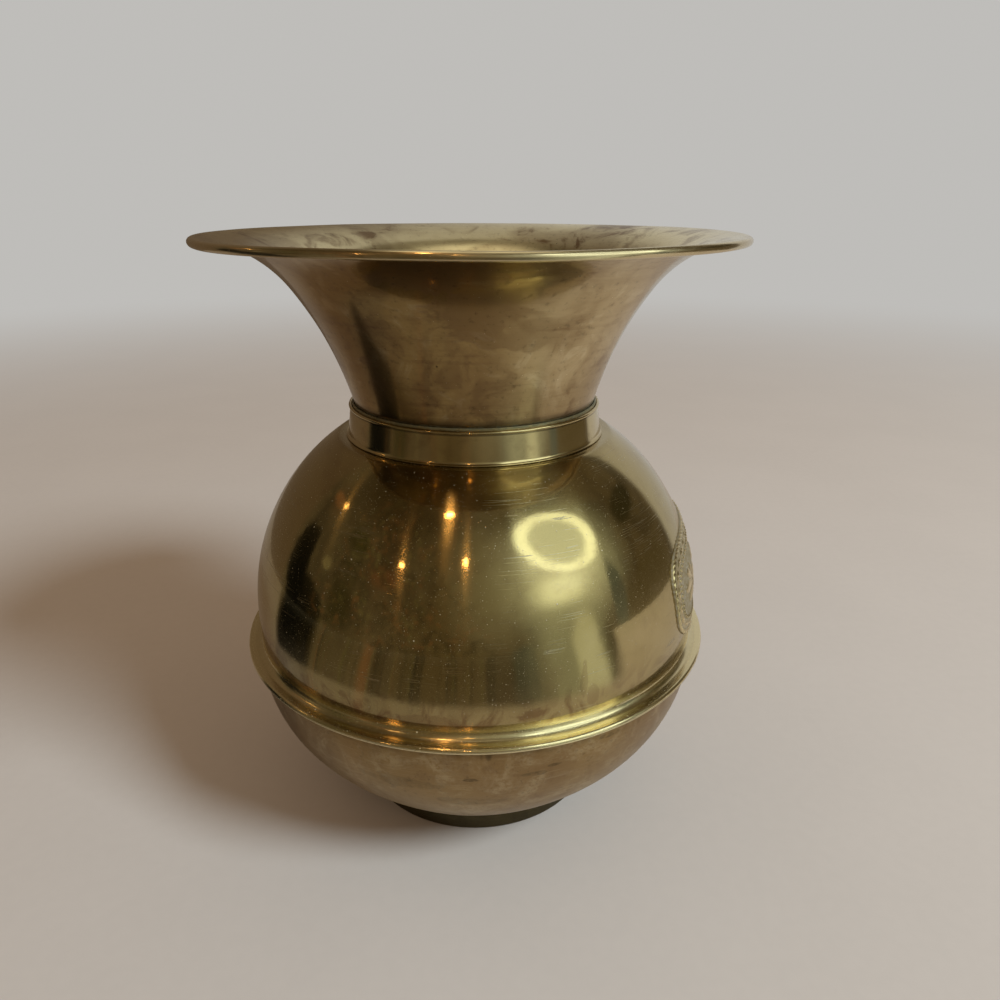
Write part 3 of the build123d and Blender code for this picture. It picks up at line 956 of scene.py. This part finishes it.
class SPITTOON_OT_bowl(bpy.types.Operator):
    """Lower half of the body, with its flat bottom and the flange inside the seam"""

    bl_idname = "spittoon.bowl"
    bl_label = "Bowl"

    def execute(self, context):
        s, c = context.scene.sheet_sizes, context.scene.brass_colours
        k = Curves(s)
        drop = k.under_z - s.base_height - s.base_bend
        out = leg(s.lower_sweep - s.base_bend, drop)
        slope = math.atan2(out, drop)
        steps = [
            (k.under_r + out, 0),
            (s.base_bend, slope),
            (s.lower_sweep, s.sweep_slope - slope),
            (s.upper_sweep, math.pi / 2 - s.sweep_slope),
            (s.flange_bend, -math.pi / 2),
            (k.fold_r - k.bowl_r - s.flange_bend, 0),
        ]
        piece = turned("bowl", traced((0, s.base_height), 0, steps))
        low, high = s.foot_height + 3 * MM, k.bowl_top - 4 * MM
        dent(piece, 50 * MM, s.dents, lambda r, z: ramp(z, low, low + 12 * MM) * ramp(high - z, 0, 12 * MM))
        thickened(piece, s.wall)
        finished(piece, "vessel", bowl_brass(c, s, k), "bowl_brass", "bowl_shell")
        return {"FINISHED"}


class SPITTOON_OT_collar(bpy.types.Operator):
    """Band round the neck, with a bead at each edge"""

    bl_idname = "spittoon.collar"
    bl_label = "Collar"

    def execute(self, context):
        s, c = context.scene.sheet_sizes, context.scene.brass_colours
        inner = s.neck_radius + s.film
        low, top, edge = COLLAR_LOW.z, COLLAR_HIGH.z - s.top_bead, s.cove_edge
        band = inner + s.collar_spread + s.wall
        turn = 235
        rise = low + 2 * edge - s.cove * math.sin(math.radians(turn)) - 0.1 * MM
        rim = band + s.cove * (1 + math.cos(math.radians(turn)))
        points = [(inner + s.collar_spread, low)] + arc((rim, low + edge), edge, -90, 70)
        points += arc((band + s.cove, rise), s.cove, turn, 180) + arc((inner + s.top_bead, top), s.top_bead, -83, 180)
        points.append(points[0])
        piece = turned("collar_band", points)
        smooth(piece, 50)
        finished(piece, "vessel", collar_brass(c, s, Curves(s)), "collar_brass", "collar")
        return {"FINISHED"}


class SPITTOON_OT_foot(bpy.types.Operator):
    """Ring that the body stands on"""

    bl_idname = "spittoon.foot"
    bl_label = "Foot ring"

    def execute(self, context):
        s, c = context.scene.sheet_sizes, context.scene.brass_colours
        k = Curves(s)
        outer, inner = s.foot_radius, s.foot_radius - s.foot_wall
        bend = s.foot_wall + s.foot_inner_bend
        crown = [k.under_z - leg(s.lower_sweep + s.film, r - k.under_r) for r in (outer, inner)]
        lip = inner - s.foot_lip
        points = [(lip, 0)] + arc((outer - bend, bend), bend, -90, 0) + [(outer, crown[0]), (inner, crown[1])]
        points += arc((outer - bend, bend), s.foot_inner_bend, 0, -90) + [(lip, s.foot_wall), (lip, 0)]
        piece = turned("foot", points)
        rounded(piece, 0.15 * MM, 2, 50)
        smooth(piece)
        finished(piece, "vessel", foot_brass(c, s, k), "foot_brass", "foot_ring")
        return {"FINISHED"}


class SPITTOON_OT_medallion(bpy.types.Operator):
    """Oval ornament on the side of the shoulder: rope, leaf band, beads and a rosette between palm leaves"""

    bl_idname = "spittoon.medallion"
    bl_label = "Medallion"

    def execute(self, context):
        s, c, m = context.scene.sheet_sizes, context.scene.brass_colours, context.scene.medallion_sizes
        k = Curves(s)
        around, rows, border_rows = 540, 78, 36
        outline = full_oval(m.half_width, m.half_height, around)
        bpy.ops.object.select_all(action="DESELECT")
        bpy.ops.mesh.primitive_grid_add(x_subdivisions=around, y_subdivisions=rows, size=2, location=(0, 0, 0))
        piece = bpy.context.object
        heights = piece.data.attributes.new("relief", "FLOAT", "POINT")
        tilt = math.asin((m.height - k.belly_z) / s.shoulder_sweep)
        for vertex in piece.data.vertices:
            column = round((vertex.co.x + 1) / 2 * around)
            row = round((vertex.co.y + 1) / 2 * rows)
            inset = m.border * min(row, border_rows) / border_rows
            inward = 1 - max(0, row - border_rows) / (rows - border_rows)
            u, v = outline[column]
            u, v = u * (1 - inset / m.half_width) * inward, v * (1 - inset / m.half_height) * inward
            if row <= border_rows:
                high = border_relief(inset / m.border, column / around)
            else:
                high = field_relief(u / MM, v / MM, inward)
            heights.data[vertex.index].value = high
            rise = tilt + v / s.shoulder_sweep
            out = s.shoulder_sweep + high * m.relief
            r, z = k.shoulder_r + out * math.cos(rise), k.belly_z + out * math.sin(rise)
            way = m.bearing + u / (k.shoulder_r + s.shoulder_sweep * math.cos(rise))
            vertex.co = (r * math.sin(way), -r * math.cos(way), z)
        only(piece)
        bpy.ops.object.mode_set(mode="EDIT")
        bpy.ops.mesh.select_all(action="SELECT")
        bpy.ops.mesh.remove_doubles(threshold=WELD)
        bpy.ops.mesh.normals_make_consistent(inside=False)
        bpy.ops.object.mode_set(mode="OBJECT")
        settle(piece, "side_medallion")
        face_towards(piece, piece.data.polygons[0], piece.data.polygons[0].center)
        apply_modifier(piece, "SOLIDIFY", thickness=m.sheet, offset=-1)
        smooth(piece, 60)
        finished(piece, "vessel", medallion_brass(c), "body_brass")
        return {"FINISHED"}


class SPITTOON_OT_inner_parts(bpy.types.Operator):
    """Finishes of the parts that the frame already shapes: wire, solder, base disc and weight"""

    bl_idname = "spittoon.inner_parts"
    bl_label = "Inner parts"

    def execute(self, context):
        s, c = context.scene.sheet_sizes, context.scene.brass_colours
        for nodes, *settings in GREY_METALS:
            self.paint(nodes, grey_metal(*settings))
        # The base disc takes the foot's finish, its painted shade included.
        disc = foot_brass(c, s, Curves(s))
        disc.name = "base_disc_brass"
        self.paint(("base_plate",), disc)
        return {"FINISHED"}

    def paint(self, nodes, finish):
        """Gives CAD nodes a finish"""
        for name in nodes:
            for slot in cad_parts[name].material_slots:
                slot.material = finish


class SPITTOON_OT_studio(bpy.types.Operator):
    """Floor, backdrop, lamps, mirrored room and camera"""

    bl_idname = "spittoon.studio"
    bl_label = "Studio"

    def execute(self, context):
        g = context.scene.studio_settings
        self.floor(g)
        self.sky(g)
        self.key(g)
        self.room(g)
        for bearing, elevation, radius, power in BULBS:
            self.bulb(g, bearing, elevation, radius, power)
        self.camera(context, g)
        context.scene.view_settings.view_transform = "Standard"
        return {"FINISHED"}

    def floor(self, g):
        """Pale floor that fades into the backdrop; the metal sees the room's shade on it in front and on the left"""
        bpy.ops.object.select_all(action="DESELECT")
        bpy.ops.mesh.primitive_plane_add(size=40, location=(0, 0, 0))
        floor = settle(bpy.context.object, "floor")
        f = Finish("floor_paint")
        f.place()
        grain = f.noise(9, 3).between(0.3, 0.7) * 0.3 + f.noise(160, 2).between(0.3, 0.7) * 0.2
        matt = f.node("ShaderNodeBsdfDiffuse", None, {"Color": f.blend(g.floor, [v * 0.93 for v in g.floor], grain)})
        front = f.r.between(*SEEN_FLOOR) * (f.x * -0.375 - abs(f.x) * 0.075 - f.y).between(0, 0.05)
        left = (f.x * -1).between(-0.05, 0.2) * 0.5
        room = f.glow(self.surroundings(f, g, f.x / f.r, f.y / f.r, f.z))
        matt = f.mixed(front.most(left) * f.ray("Glossy"), matt, room)
        floor.data.materials.append(f.done(f.mixed(f.r.between(*FLOOR_FADE), matt, f.glow(g.backdrop))))

    def sky(self, g):
        """Warm light on the object, and the pale backdrop where the camera or the metal sees it"""
        world = bpy.data.worlds.new("studio_sky")
        bpy.context.scene.world = world
        f = Finish("studio_sky", world)
        seen = f.ray("Camera").most(f.ray("Glossy")).most(f.ray("Transmission"))
        light = f.node("ShaderNodeBackground", None, {"Color": full(g.fill), "Strength": g.fill_strength})
        pale = f.node("ShaderNodeBackground", None, {"Color": full(g.backdrop)})
        f.done(f.mixed(seen, light, pale), "ShaderNodeOutputWorld")

    def disc_light(self, name, centre, way, radius, power, shade):
        """Round lamp that shines back along a direction"""
        light = bpy.data.lights.new(name, "AREA")
        light.shape = "DISK"
        light.size, light.energy, light.color = 2 * radius, power, shade
        lamp = bpy.data.objects.new(name, light)
        bpy.context.collection.objects.link(lamp)
        lamp.location, lamp.rotation_euler = centre, way.to_track_quat("Z", "Y").to_euler()
        return lamp

    def key(self, g):
        """Main light, which the metal doesn't mirror"""
        way = towards(g.key_bearing, g.key_elevation)
        centre = Vector((0, 0, g.aim)) + way * g.key_distance
        self.disc_light("main_light", centre, way, g.key_radius, g.key_power, g.key).visible_glossy = False

    def bulb(self, g, bearing, elevation, radius, power):
        """Small lamp that only the metal mirrors"""
        way = towards(math.radians(bearing), math.radians(elevation))
        bulb = self.disc_light("bulb", way * (g.room_radius - g.bulb_gap), way, radius, power, g.warm)
        bulb.visible_diffuse = False

    def room(self, g):
        """Dim room that only the metal sees: dark in front, with light from the right, and pale walls behind"""
        size = g.room_radius
        bpy.ops.object.select_all(action="DESELECT")
        bpy.ops.mesh.primitive_uv_sphere_add(segments=64, ring_count=32, radius=size, location=(0, 0, 0))
        walls = bpy.context.object
        bpy.ops.object.mode_set(mode="EDIT")
        bpy.ops.mesh.select_all(action="SELECT")
        bpy.ops.mesh.bisect(plane_co=(0, 0, 0.001), plane_no=(0, 0, 1), clear_inner=True)
        bpy.ops.mesh.select_all(action="SELECT")
        bpy.ops.mesh.flip_normals()
        bpy.ops.object.mode_set(mode="OBJECT")
        settle(walls, "room")
        f = Finish("room_paint")
        f.place()
        paint = self.surroundings(f, g, f.x / size, f.y / size, f.z / size)
        walls.data.materials.append(f.done(f.glow(paint)))
        walls.visible_camera = walls.visible_diffuse = walls.visible_transmission = False
        walls.visible_shadow = walls.visible_volume_scatter = False

    def surroundings(self, f, g, x, y, z):
        """Colour of the room in a direction"""
        way = f.vector(x, y, z)
        large, small = f.noise(3.6, 3, 0.6, 0.8, way), f.noise(10, 3, 0.65, 1.0, way)
        paint = f.blend(g.shade, g.room, 0.45 + large.between(0.35, 0.62) * 0.55)
        for bearing, elevation, width, height, inner, shade in PATCHES:
            oval = self.oval(x, y, z, bearing, elevation, width, height)
            ragged = 0.5 if max(shade) < 0.5 else 0.12
            paint = f.blend(paint, shade, 1 - (oval + (small - 0.5) * ragged).between(inner, 1))
        clutter = (1 - (x + z * 0.6).between(0.0, 0.4)) * (y * -1).between(0.05, 0.3)
        for scale, low, high, shade, strength in CLUTTER:
            moved = f.node("ShaderNodeMapping", None, {"Vector": way, "Location": (scale, 0, 0)})
            bits = f.noise(scale, 3, 0.6, 1.5, moved)
            paint = f.blend(paint, shade, bits.between(low, high) * clutter * strength)
        lamp = math.degrees(g.lamp_bearing), math.degrees(g.lamp_elevation)
        ring = self.oval(x, y, z, *lamp, g.lamp_width, g.lamp_height, g.lamp_tilt)
        paint = f.blend(paint, LAMP_GLASS, 1 - ring.between(0.7, 1.25))
        edge = ring.between(0.62, 0.82) * (1 - ring.between(0.94, 1.12))
        paint = f.blend(paint, LAMP_RING, edge)
        wall = f.blend(g.shaded_wall, g.backdrop, x.between(-0.3, 0.2))
        paint = f.blend(paint, wall, (y - x * 0.105 - 0.36).between(-0.03, 0.05))
        return f.blend(paint, g.ceiling, z.between(0.955, 0.985))

    def oval(self, x, y, z, bearing, elevation, width, height, turn=0.0):
        """Distance from a place of the room, 1 on the oval of that half width and height round it"""
        b, e = math.radians(bearing), math.radians(elevation)
        side, up = Vector((math.cos(b), math.sin(b), 0)), towards(b, e + math.pi / 2)
        side, up = side * math.cos(turn) + up * math.sin(turn), up * math.cos(turn) - side * math.sin(turn)
        along, over, depth = (x * way.x + y * way.y + z * way.z for way in (side / width, up / height, towards(b, e)))
        return (along * along + over * over) ** 0.5 + (1 - depth.between(-0.1, 0.1)) * 9

    def camera(self, context, g):
        """Camera at the photograph's angle"""
        data = bpy.data.cameras.new("camera")
        data.lens, data.sensor_width = g.lens, 36
        data.clip_start, data.clip_end = 0.01, 100
        camera = bpy.data.objects.new("camera", data)
        context.collection.objects.link(camera)
        turn = Matrix.Rotation(-g.camera_yaw, 4, "Z") @ Matrix.Rotation(math.pi / 2 - g.camera_pitch, 4, "X")
        turn = turn @ Matrix.Rotation(g.camera_roll, 4, "Z")
        camera.matrix_world = Matrix.Translation((0, -g.camera_distance, g.camera_height)) @ turn
        context.scene.camera = camera


class SPITTOON_PT_panel(bpy.types.Panel):
    """Lists the pieces of the spittoon"""

    bl_idname = "SPITTOON_PT_panel"
    bl_label = "Spittoon"
    bl_space_type = "VIEW_3D"
    bl_region_type = "UI"
    bl_category = "Spittoon"

    def draw(self, context):
        for operator in OPERATORS:
            self.layout.operator(operator.bl_idname)


GROUPS = (
    ("sheet_sizes", SheetSizes),
    ("medallion_sizes", MedallionSizes),
    ("brass_colours", BrassColours),
    ("studio_settings", StudioSettings),
)
OPERATORS = (
    SPITTOON_OT_funnel,
    SPITTOON_OT_shoulder,
    SPITTOON_OT_bowl,
    SPITTOON_OT_collar,
    SPITTOON_OT_foot,
    SPITTOON_OT_medallion,
    SPITTOON_OT_inner_parts,
    SPITTOON_OT_studio,
)


def register():
    for name, group in GROUPS:
        bpy.utils.register_class(group)
        setattr(bpy.types.Scene, name, bpy.props.PointerProperty(type=group))
    for made in OPERATORS + (SPITTOON_PT_panel,):
        bpy.utils.register_class(made)


def unregister():
    for made in reversed(OPERATORS + (SPITTOON_PT_panel,)):
        bpy.utils.unregister_class(made)
    for name, group in reversed(GROUPS):
        delattr(bpy.types.Scene, name)
        bpy.utils.unregister_class(group)


def main():
    """Builds every piece and the studio."""
    register()
    bpy.ops.spittoon.funnel()
    bpy.ops.spittoon.shoulder()
    bpy.ops.spittoon.bowl()
    bpy.ops.spittoon.collar()
    bpy.ops.spittoon.foot()
    bpy.ops.spittoon.medallion()
    bpy.ops.spittoon.inner_parts()
    bpy.ops.spittoon.studio()


if __name__ == "__main__":
    main()
